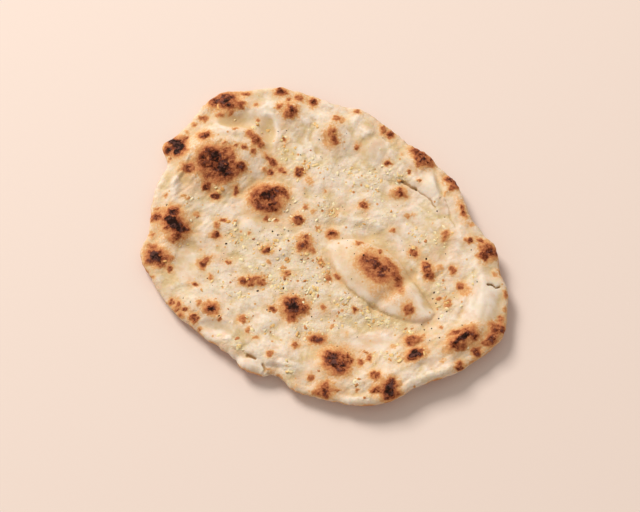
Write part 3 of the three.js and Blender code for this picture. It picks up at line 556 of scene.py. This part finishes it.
def bread_parts():
    """Points, faces and values of the whole skin: upper grid, the rounded edge's rows, and lower grid."""
    top_x, top_y = stretched(*disc_grid(CELLS))
    top_z = upper_height(top_x, top_y)
    hollow = blurred(top_z, HOLLOW_PASSES) - top_z
    rim = border(CELLS)
    edge_x, edge_y, edge_z = top_x.ravel()[rim], top_y.ravel()[rim], top_z.ravel()[rim]
    angle = np.arctan2(edge_y, edge_x)
    half = dough_thickness(angle, 1) / 2
    base = underside_height(angle, 1)
    extra = edge_z - base - 2 * half
    points = [np.stack([top_x.ravel(), top_y.ravel(), top_z.ravel()], axis=1)]
    wrap = [np.ones(top_x.size)]
    for step in range(1, NOSE_STEPS + 1):
        lean = np.pi * (0.5 - step / NOSE_STEPS)
        radius = edge_reach(angle) - NOSE_WIDTH * (1 - np.cos(lean))
        around_x, around_y = MEAN_REACH * np.cos(angle), MEAN_REACH * np.sin(angle)
        radius += 0.5 * np.cos(lean) * noise(around_x, around_y, 5, 50 + step)
        up = (1 + np.sin(lean)) / 2
        height = base + 2 * half * up + extra * up ** 1.5
        points.append(np.stack([radius * np.cos(angle), radius * np.sin(angle), height], axis=1))
        wrap.append(np.full(rim.size, up))
    low_cells = CELLS // 2
    low_x, low_y = stretched(*disc_grid(low_cells))
    low_share = np.hypot(low_x, low_y) / (edge_reach(np.arctan2(low_y, low_x)) - NOSE_WIDTH)
    low_x, low_y = low_x * LOWER_INSET, low_y * LOWER_INSET
    dimples = 0.25 * np.clip(noise(low_x, low_y, 7, 31) - 0.15, 0, 1) * (1 - smooth_step(0.9, 1, low_share))
    low_z = underside_height(np.arctan2(low_y, low_x), low_share * LOWER_INSET) + dimples
    points.append(np.stack([low_x.ravel(), low_y.ravel(), low_z.ravel()], axis=1))
    wrap.append(np.zeros(low_x.size))

    starts = np.cumsum([0] + [len(p) for p in points])
    rows = [rim] + [np.arange(rim.size) + starts[k] for k in range(1, NOSE_STEPS + 1)]
    faces = [grid_faces(CELLS, True)]
    for upper, lower in zip(rows[:-1], rows[1:]):
        faces.append(np.stack([upper, lower, np.roll(lower, -1), np.roll(upper, -1)], axis=1))
    outer, inner = rows[-1], border(low_cells) + starts[-2]
    first, second, third = outer[0::2], outer[1::2], np.roll(outer, -2)[0::2]
    next_inner = np.roll(inner, -1)
    corners = [(first, inner, second), (second, inner, next_inner), (second, next_inner, third)]
    triangles = np.concatenate([np.stack(c, axis=1) for c in corners])
    faces.append(grid_faces(low_cells, False) + starts[-2])
    hollow = np.concatenate([hollow.ravel(), np.zeros(starts[-1] - hollow.size)])
    return np.concatenate(points), faces, triangles, {"wrap": np.concatenate(wrap), "hollow": hollow}


def sheet_places(faces, triangles):
    """Places on the bread's flat texture sheet, one for each corner of each face. The upper grid is a
    square, round which the edge's rows lie as ever larger frames, and the lower grid is a small square in
    the corner left free."""
    frame_step, upper_half, upper_middle, lower_half, lower_middle = 0.02, 0.322, 0.37, 0.117, 0.873
    squares = []
    for cells in (CELLS, CELLS // 2):
        side = np.linspace(-1, 1, cells + 1)
        squares.append(np.stack(np.meshgrid(side, side, indexing="ij"), axis=-1).reshape(-1, 2))
    upper, lower = squares
    frames = [upper[border(CELLS)] * (1 + frame_step * step) for step in range(1, NOSE_STEPS + 1)]
    last_frame = lower * (1 + frame_step * (NOSE_STEPS + 1))
    large = np.concatenate([upper, *frames, last_frame]) * upper_half + upper_middle
    small = np.concatenate([upper, *frames, lower]) * lower_half + lower_middle
    corners = [large[group].reshape(-1, 2) for group in faces[:-1]]
    return np.concatenate([*corners, small[faces[-1]].reshape(-1, 2), large[triangles].reshape(-1, 2)])


def make_mesh(name, points, faces):
    """A mesh object at the origin from points in millimetres about the outline's own origin."""
    mesh = bpy.data.meshes.new(name)
    mesh.from_pydata(((points - MIDDLE) * MM).tolist(), [], faces)
    mesh.polygons.foreach_set("use_smooth", np.full(len(mesh.polygons), True))
    mesh.update()
    piece = bpy.data.objects.new(name, mesh)
    bpy.context.scene.collection.objects.link(piece)
    return piece


def add_values(piece, name, values):
    """Writes one number a vertex, for a material to read."""
    piece.data.attributes.new(name, "FLOAT", "POINT").data.foreach_set("value", values.astype(np.float32))


# The outline is drawn about a point a little off the middle of its box, which is the part's own origin.
around = np.linspace(-np.pi, np.pi, 2000)
outline_x, outline_y = edge_reach(around) * np.cos(around), edge_reach(around) * np.sin(around)
MIDDLE = np.array([
    (outline_x.min() + outline_x.max()) / 2,
    (outline_y.min() + outline_y.max()) / 2,
    0,
])

points, squares, triangles, values = bread_parts()
toast = browning(*points.T) * smooth_step(0, 0.8, values["wrap"])
points[:, 2] += 0.5 * np.abs(noise(points[:, 0], points[:, 1], 2.6, 41)) * smooth_step(0.3, 0.9, toast)
bread = make_mesh("bread", points, np.concatenate(squares).tolist() + triangles.tolist())
bread.data.uv_layers.new(name="OFBake").data.foreach_set("uv", sheet_places(squares, triangles).ravel())
add_values(bread, "toast", toast)
add_values(bread, "hollow", values["hollow"])
add_values(bread, "underside", 1 - values["wrap"])
x, y, wrap = points[:, 0], points[:, 1], values["wrap"]
add_values(bread, "smoothness", smoothness(x, y) * wrap)
add_values(bread, "puffed", smooth_step(0, 4, long_bubble_height(x, y)) * wrap)
add_values(bread, "crumbed", garlic_cover(x, y) * wrap)
# Depth of the narrow troughs, which the crust paints as dark lines of shade.
add_values(bread, "creased", np.maximum(-fold_height(x, y, NARROW_FOLD), 0) * wrap)


class Shade:
    """One output of a shader node. Sums written with it add the Math nodes that work them out."""

    def __init__(self, tree, socket=None):
        self.tree = tree
        self.socket = socket

    def node(self, kind, settings=None, inputs=None, output=0):
        """Adds a node of a type, with its settings, such as an operation or a ramp's stops, and then the
        values or links of its sockets, and returns one of its outputs."""
        made = self.tree.nodes.new("ShaderNode" + kind)
        for name, value in (settings or {}).items():
            if name == "stops":
                for stop in range(len(value) - 2):
                    made.color_ramp.elements.new(0.5)
                for element, (place, colour) in zip(made.color_ramp.elements, value):
                    element.position, element.color = place, colour
            else:
                setattr(made, name, value)
        for name, value in (inputs or {}).items():
            if isinstance(value, Shade):
                self.tree.links.new(value.socket, made.inputs[name])
            else:
                made.inputs[name].default_value = value
        return Shade(self.tree, made.outputs[output] if made.outputs else None)

    def maths(self, operation, *values):
        return self.node("Math", {"operation": operation}, dict(enumerate(values)))

    def __add__(self, other):
        return self.maths("ADD", self, other)

    __radd__ = __add__

    def __sub__(self, other):
        return self.maths("SUBTRACT", self, other)

    def __rsub__(self, other):
        return self.maths("SUBTRACT", other, self)

    def __mul__(self, other):
        return self.maths("MULTIPLY", self, other)

    __rmul__ = __mul__

    def between(self, low, high):
        """0 where this is below low, 1 above high, and smooth between."""
        return self.node("MapRange", {"interpolation_type": "SMOOTHSTEP"},
                         {"Value": self, "From Min": low, "From Max": high})

    def mixed(self, first, second):
        """The first colour where this is 0, the second where it is 1."""
        return self.node("Mix", {"data_type": "RGBA"}, {0: self, 6: first, 7: second}, output=2)


def screen(red, green, blue):
    """A colour as a screen shows it, 0 to 255, as the linear values that shaders take."""
    shown = np.array([red, green, blue]) / 255
    linear = np.where(shown <= 0.04045, shown / 12.92, ((shown + 0.055) / 1.055) ** 2.4)
    return (*linear.tolist(), 1)


def new_material(name):
    """An empty material, a starting point for its sums, and a function that gives it its surface."""
    material = bpy.data.materials.new(name)
    material.use_nodes = True
    material.node_tree.nodes.clear()
    shade = Shade(material.node_tree)

    def finish(constants, varying):
        surface = shade.node("BsdfPrincipled", None, {**constants, **varying})
        shade.node("OutputMaterial", None, {"Surface": surface})

    return material, shade, finish


def crust_material():
    """Pale dough, browned as the toast value says. It has patches of flour, and a painted highlight makes it
    whiter where it bulges. Butter makes it yellower in its hollows, and painted shade darker there and along
    narrow creases.
    """
    material, shade, finish = new_material("crust")
    place = shade.node("TexCoord", output="Object")

    def value(name):
        return shade.node("Attribute", {"attribute_name": name}, output="Fac")

    def grain(size, detail=2.0, roughness=0.55, distortion=0.0):
        return shade.node("TexNoise", None, {
            "Vector": place, "Scale": 1 / (size * MM), "Detail": detail, "Roughness": roughness,
            "Distortion": distortion,
        }, output="Fac")

    freckle_scale = 1 / (5.5 * MM)
    toast, hollow, underside = value("toast"), value("hollow"), value("underside")
    taut, puffed = value("smoothness"), value("puffed")
    crumbed, creased = value("crumbed"), value("creased")
    blotches, fine = grain(24), grain(3.0, 2)
    # Darker buttery yellow: butter in blotches from noise, and more in the hollows, where it is partly
    # painted shade.
    butter_and_shade = hollow * 0.6 + (blotches - 0.5) * 2.8 + (grain(7, 3) - 0.5) * 2.0 + puffed * 0.12 + 0.28
    butter_and_shade = butter_and_shade.between(0, 1)
    dough = butter_and_shade.mixed(screen(237, 217, 197), screen(216, 187, 139))
    # Near-white: flour in patches from noise, and a painted highlight on raised places, where the hollow
    # value is below 0.
    flour_and_highlight = (hollow * -0.7 + (grain(11, 3) - 0.5) * 2.4 - puffed * 0.1 + 0.1).between(0, 1)
    pink = (grain(8) - 0.5) * 3.6 + (grain(28) - 0.5) * 2.4
    oil = crumbed * (grain(5, 2).between(0.3, 0.65) * 0.4 + 0.15)
    # Small darker tan dots, most where garlic lies and fewest on taut skin, are painted shade of tiny pits.
    pit_shade = fine.between(0.45, 0.72) * (crumbed * 0.7 + 0.25 - taut * 0.2)
    juice = grain(2.6, 2).between(0.5, 0.7) * (crumbed * 0.6 + 0.1)
    # Each tint covers the ones before it by its own share, which changes from place to place.
    for share, tint in (
        # Darker tan by the hollow value is painted shade in the hollows.
        (hollow.between(0.1, 1.6) * 0.6, (210, 168, 120)), (flour_and_highlight * 0.75, (246, 233, 216)),
        (pink.between(0, 1) * 0.8, (227, 191, 159)), ((0 - pink).between(0, 1) * 0.36, (224, 208, 166)),
        (oil, (229, 201, 146)), (pit_shade, (214, 180, 122)), (juice, (246, 230, 190)),
        # Tan, then near black, along the narrow troughs: painted shade in the creases.
        (creased.between(0.1, 1.2) * 0.85, (170, 122, 72)), (creased.between(1.0, 2.2), (70, 46, 30)),
    ):
        dough = share.mixed(dough, screen(*tint))
    freckle = shade.node("TexVoronoi", None, {"Vector": place, "Scale": freckle_scale})
    chance = shade.node("TexVoronoi", None, {"Vector": place, "Scale": freckle_scale}, output="Color")
    chance = chance.node("SeparateColor", None, {"Color": chance}, output="Red")
    freckles = (1 - freckle.between(0.05, 0.26)) * (chance.between(0.5, 0.9) * (crumbed * 0.3 + 0.22))
    patches = (underside * grain(17, 3)).between(0.42, 0.62) * 0.55
    edge = (underside.between(0.05, 0.7) * grain(9, 3).between(0.35, 0.65)) * 0.37
    plateau = toast * 0.5 + toast.between(0.2, 0.7) * 0.25 + toast.between(0.8, 1.2) * 0.3
    islands = grain(3.2, 3, 0.6, 0.8).between(0.43, 0.59) - 0.45
    crumbled = plateau * (grain(5, 2) * 0.9 + 0.5) + toast.between(0.3, 0.9) * islands * 0.34
    crumbled = crumbled + toast.between(0, 0.4) * (grain(1.4, 2) - 0.5) * 0.4
    depth = crumbled.maths("MAXIMUM", crumbled, patches).maths("MAXIMUM", crumbled, freckles)
    depth = depth.maths("MAXIMUM", depth, edge)
    browned = shade.node("ValToRGB", {"stops": [
        (0.06, screen(232, 190, 140)), (0.17, screen(220, 163, 106)), (0.32, screen(202, 130, 80)),
        (0.48, screen(174, 101, 60)), (0.62, screen(144, 74, 42)), (0.76, screen(110, 49, 22)),
        (0.92, screen(70, 28, 11)), (1.0, screen(46, 20, 9)),
    ]}, {0: depth}, output="Color")
    colour = depth.between(0.0, 0.15).mixed(dough, browned)
    char = toast.between(0.95, 1.25) * grain(2.4, 3).between(0.25, 0.6) * 0.8
    colour = char.mixed(colour, screen(36, 21, 13))
    # Lilac grey on the deepest browning: partly ash, and partly a painted sheen of reflected light.
    ash_and_sheen = grain(3.0, 3).between(0.46, 0.64) * depth.between(0.5, 0.85) * 0.5
    colour = ash_and_sheen.mixed(colour, screen(134, 86, 76))
    lumpy = 1 - taut * 0.75
    height = (grain(2.4, 4, 0.6) * (crumbed * 1.2 + 0.7) + grain(0.8, 2) * 0.3) * lumpy
    height = height + depth * grain(1.4, 3) * 1.1
    normal = shade.node("Bump", None, {"Strength": 1.0, "Distance": 0.0009, "Height": height})
    finish(
        {"Subsurface Weight": 0.2, "Subsurface Radius": (0.9, 0.5, 0.28), "Subsurface Scale": 0.004,
         "Specular IOR Level": 0.14},
        {"Base Color": colour, "Roughness": 0.7 - butter_and_shade * 0.2 + depth * 0.15, "Normal": normal},
    )
    return material


bread.data.materials.append(crust_material())
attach(bread, "root")
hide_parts("naan")

# Garlic: raw garlic minced with a knife and strewn over the buttered dough before it baked. Its bits are
# angular, pale yellow and a little see-through, and some have turned golden. They cling to the skin, more
# than half sunk in, and have rolled off the tops of the largest bubbles.

GARLIC_SIZE = 2.1
GARLIC_SPREAD = 0.34
GARLIC_SMALLEST, GARLIC_LARGEST = 0.9, 3.4
GARLIC_SUNK = 0.27
GARLIC_STRAY = 90
GARLIC_MOST_TOASTED = 0.6
GOLDEN_MEAN, GOLDEN_SPREAD = 0.3, 0.3
PATCH_SPREAD = 0.62

# Length, width and height of the flattest and the fullest bit, as shares of its size
BIT_LEAST = (0.8, 0.65, 0.25)
BIT_MOST = (1.4, 1.15, 0.42)

# Tops of the largest bubbles, without garlic: middle, half-length, half-width, turn in degrees
GARLIC_FREE = [(34, -20, 38, 17, -36), (57, -44, 18, 10, -22), (-70, 66, 26, 20, 8)]

random = np.random.default_rng(7)


def scattered(patches, stray):
    """Places in patches, dense in the middle of each, and stray ones anywhere on the bread."""
    places = [random.normal(0, PATCH_SPREAD, (count, 2)) * (half_length, half_width) @ np.array([
        (np.cos(np.radians(degrees)), np.sin(np.radians(degrees))),
        (-np.sin(np.radians(degrees)), np.cos(np.radians(degrees))),
    ]) + (middle_x, middle_y) for middle_x, middle_y, half_length, half_width, degrees, count in patches]
    angle, share = random.uniform(-np.pi, np.pi, stray), 0.93 * np.sqrt(random.uniform(0, 1, stray))
    places.append(np.stack([np.cos(angle), np.sin(angle)], axis=1) * (share * edge_reach(angle))[:, None])
    places = np.concatenate(places)
    reach = edge_reach(np.arctan2(places[:, 1], places[:, 0]))
    return places[np.hypot(places[:, 0], places[:, 1]) < 0.94 * reach]


def crumbs(name, places, sizes, subdivisions, squareness, sunk):
    """One mesh of many bits: each is a ball of triangles, made angular by raising its coordinates to a
    power, flattened, turned at random, and set on the skin with its middle sunk in by a share of its
    half-size."""
    ball = bmesh.new()
    bmesh.ops.create_icosphere(ball, subdivisions=subdivisions, radius=1)
    corners = np.array([corner.co for corner in ball.verts])
    faces = np.array([[corner.index for corner in face.verts] for face in ball.faces])
    ball.free()
    corners = np.sign(corners) * np.abs(corners) ** squareness
    count = len(places)
    shapes = corners[None] * random.uniform(BIT_LEAST, BIT_MOST, (count, 3))[:, None]
    shapes *= 1 + random.uniform(-0.25, 0.25, (count, len(corners), 1))
    spin, tilt = random.uniform(-np.pi, np.pi, count)[:, None], random.normal(0, 0.35, count)[:, None]
    x, y, z = shapes[..., 0], shapes[..., 1], shapes[..., 2]
    y, z = y * np.cos(tilt) - z * np.sin(tilt), y * np.sin(tilt) + z * np.cos(tilt)
    x, y = x * np.cos(spin) - y * np.sin(spin), x * np.sin(spin) + y * np.cos(spin)
    half = sizes[:, None] / 2
    ground = upper_height(places[:, 0], places[:, 1])[:, None]
    points = np.stack([
        places[:, :1] + x * half, places[:, 1:] + y * half, ground + half * (z - sunk),
    ], axis=2)
    numbers = (faces[None] + np.arange(count)[:, None, None] * len(corners)).reshape(-1, 3)
    return make_mesh(name, points.reshape(-1, 3), numbers.tolist()), len(corners)


places = scattered(GARLIC_PATCHES, GARLIC_STRAY)
for ellipse in GARLIC_FREE:
    places = places[in_ellipse(*places.T, *ellipse) > 1]
toasted = browning(*places.T, upper_height(*places.T))
pale = toasted < GARLIC_MOST_TOASTED
places, toasted = places[pale], toasted[pale]
sizes = GARLIC_SIZE * np.exp(random.normal(0, GARLIC_SPREAD, len(places)))
sizes = np.clip(sizes, GARLIC_SMALLEST, GARLIC_LARGEST)
garlic, corner_count = crumbs("garlic", places, sizes, subdivisions=2, squareness=0.7, sunk=GARLIC_SUNK)
golden = np.clip(random.normal(GOLDEN_MEAN, GOLDEN_SPREAD, len(places)) + 0.7 * toasted, 0, 1)
add_values(garlic, "golden", np.repeat(golden, corner_count))


def garlic_material():
    """Pale yellow, golden or brown as each bit's own value says, moist and a little see-through."""
    material, shade, finish = new_material("garlic")
    place = shade.node("TexCoord", output="Object")
    golden = shade.node("Attribute", {"attribute_name": "golden"}, output="Fac")
    cloud_scale = 1 / (1.2 * MM)
    cloud = {"Vector": place, "Scale": cloud_scale, "Detail": 1.0}
    cloud = shade.node("TexNoise", None, cloud, output="Fac")
    colour = shade.node("ValToRGB", {"stops": [
        (0.0, screen(248, 230, 190)), (0.35, screen(240, 208, 144)), (0.65, screen(232, 174, 98)),
        (0.95, screen(190, 118, 64)),
    ]}, {0: golden + (cloud - 0.5) * 0.5}, output="Color")
    finish(
        {"Subsurface Weight": 0.3, "Subsurface Radius": (0.9, 0.6, 0.35), "Subsurface Scale": 0.0007,
         "Specular IOR Level": 0.4},
        {"Base Color": colour, "Roughness": 0.55 + cloud * 0.15},
    )
    return material


garlic.data.materials.append(garlic_material())
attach(garlic, "root")

# Specks: crumbs of char and cracked seeds, black and up to 2 mm, which fell on the dough in the oven. The
# larger ones are listed by place and by the size they seem to have, and half-millimetre ones lie among them.
# Two of the listed ones are painted shadow: black bits set along a thin shadow line.

SPECK_SPREAD = 0.3
SPECKS = np.array([
    (-36, 12.5, 1.6), (-28, 13.5, 1.3), (-25, 12.5, 1), (-32.5, 9.5, 1.2), (-31, -2, 1.1),
    (-46, 2.5, 1.2), (-2, 28.5, 1.2), (-14, 41, 1), (-4, 33.5, 1), (-24, 32.5, 1), (77, 25, 1.4),
    (82, 20.5, 1), (79, 34, 1.2), (69, -8.5, 1.8), (-109, 30.5, 1.4), (-67.5, 3, 1.8),
    (-45.5, -31.7, 1.8), (-28, -29.5, 1.8), (-21.5, -33.5, 1.3), (-5.5, -25.5, 1.1), (-95, -39, 1),
    (-90, -42.5, 1.2), (66, -60.5, 1.4), (71, -60, 1.4), (76, -52.5, 1.4), (64.5, -56.5, 1),
    (73.5, -33, 1.5), (72.5, -37.5, 1.3), (74.5, -41, 1.3), (81.5, -47.5, 1.1), (82.5, -41, 1),
    (91, -59, 1.2), (75.5, -68, 1.1), (102, -28.5, 1.2), (8, -71.5, 1.1), (-9, -50, 1.3),
    # (15, -76.5) and (17, -77.5) are painted shadow: black bits set along a thin line of shadow.
    (-33, 88.5, 1), (-27, 89.5, 0.9), (-4, 81.5, 1), (-2, 68.5, 1), (-17, 71, 1.1), (15, -76.5, 1),
    (17, -77.5, 1), (-10, -34, 1.2), (-39, -45.5, 1.3), (-37, -47, 1.3), (-70.5, -53, 1.5),
    (12, 7, 0.9), (99, -5, 1), (82, -5.5, 0.9),
])
SPECK_TRUE_SHARE = 0.85
SMALL_SPECK_SIZE = 0.5
SMALL_SPECK_PATCHES = [(-25, 0, 45, 40, 0, 65), (40, 10, 50, 60, 0, 32)]
SMALL_SPECK_STRAY = 32
SPECK_SUNK = -0.15

small = scattered(SMALL_SPECK_PATCHES, SMALL_SPECK_STRAY)
small_sizes = SMALL_SPECK_SIZE * np.exp(random.normal(0, SPECK_SPREAD, len(small)))
places = np.concatenate([SPECKS[:, :2], small])
sizes = np.concatenate([SPECK_TRUE_SHARE * SPECKS[:, 2], small_sizes])
specks = crumbs("specks", places, sizes, subdivisions=1, squareness=0.9, sunk=SPECK_SUNK)[0]


def speck_material():
    """Matt black-brown char."""
    material, shade, finish = new_material("char")
    finish({"Base Color": screen(60, 42, 28), "Roughness": 0.85, "Specular IOR Level": 0.1}, {})
    return material


specks.data.materials.append(speck_material())
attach(specks, "root")

# Floor: the pale, level surface that the bread lies on. It is a wide board under one even coat of matt
# paint, and reaches far past the picture's edges.

FLOOR_SIZE = 6.0


def floor_material():
    """Plain matt paint, even all over."""
    material, shade, finish = new_material("floor_paint")
    finish({"Base Color": screen(240, 220, 207), "Roughness": 0.9, "Specular IOR Level": 0.2}, {})
    return material


half = FLOOR_SIZE / 2
floor_mesh = bpy.data.meshes.new("floor")
corners = [(-half, -half, 0), (half, -half, 0), (half, half, 0), (-half, half, 0)]
floor_mesh.from_pydata(corners, [], [(0, 1, 2, 3)])
floor = bpy.data.objects.new("floor", floor_mesh)
floor.data.materials.append(floor_material())
bpy.context.scene.collection.objects.link(floor)

# Light: one large window high behind on the left, whose light rakes softly over the bubbles, and the pale
# walls of the room, which throw a warm light back from all round.

WINDOW_PLACE = Vector((-1.5, 2.0, 2.3))
WINDOW_SIZE = 1.3
WINDOW_POWER = 102
WINDOW_COLOUR = (1.0, 0.985, 0.96)
ROOM_COLOUR = (1.0, 0.96, 0.92, 1)
ROOM_STRENGTH = 0.46

lamp = bpy.data.lights.new("window", "AREA")
lamp.size, lamp.energy, lamp.color = WINDOW_SIZE, WINDOW_POWER, WINDOW_COLOUR
window = bpy.data.objects.new("window", lamp)
window.location = WINDOW_PLACE
window.rotation_euler = (-WINDOW_PLACE).to_track_quat("-Z", "Y").to_euler()
bpy.context.scene.collection.objects.link(window)
world = bpy.data.worlds.new("room")
world.use_nodes = True
background = world.node_tree.nodes["Background"]
background.inputs["Color"].default_value = ROOM_COLOUR
background.inputs["Strength"].default_value = ROOM_STRENGTH
bpy.context.scene.world = world
bpy.context.scene.view_settings.view_transform = "Standard"

# Camera: in front, looking down steeply at a place a little to the left of and before the bread's middle.
# Its lens is long, and it stands where one pixel of the picture covers 0.68 mm of the bread.

LENS = 85
SENSOR = 36
LOOK_AT = np.array([-3.4, -7.0, 8.0])
PICTURE_PIXELS = 640
PIXEL_SIZE = 0.68

camera_data = bpy.data.cameras.new("camera")
camera_data.lens, camera_data.sensor_width = LENS, SENSOR
camera = bpy.data.objects.new("camera", camera_data)
distance = PICTURE_PIXELS * PIXEL_SIZE * LENS / SENSOR
back = np.array([0, -np.cos(VIEW_SLOPE), np.sin(VIEW_SLOPE)])
camera.location = ((LOOK_AT - MIDDLE + back * distance) * MM).tolist()
camera.rotation_euler = (np.pi / 2 - VIEW_SLOPE, 0, 0)
bpy.context.scene.collection.objects.link(camera)
bpy.context.scene.camera = camera
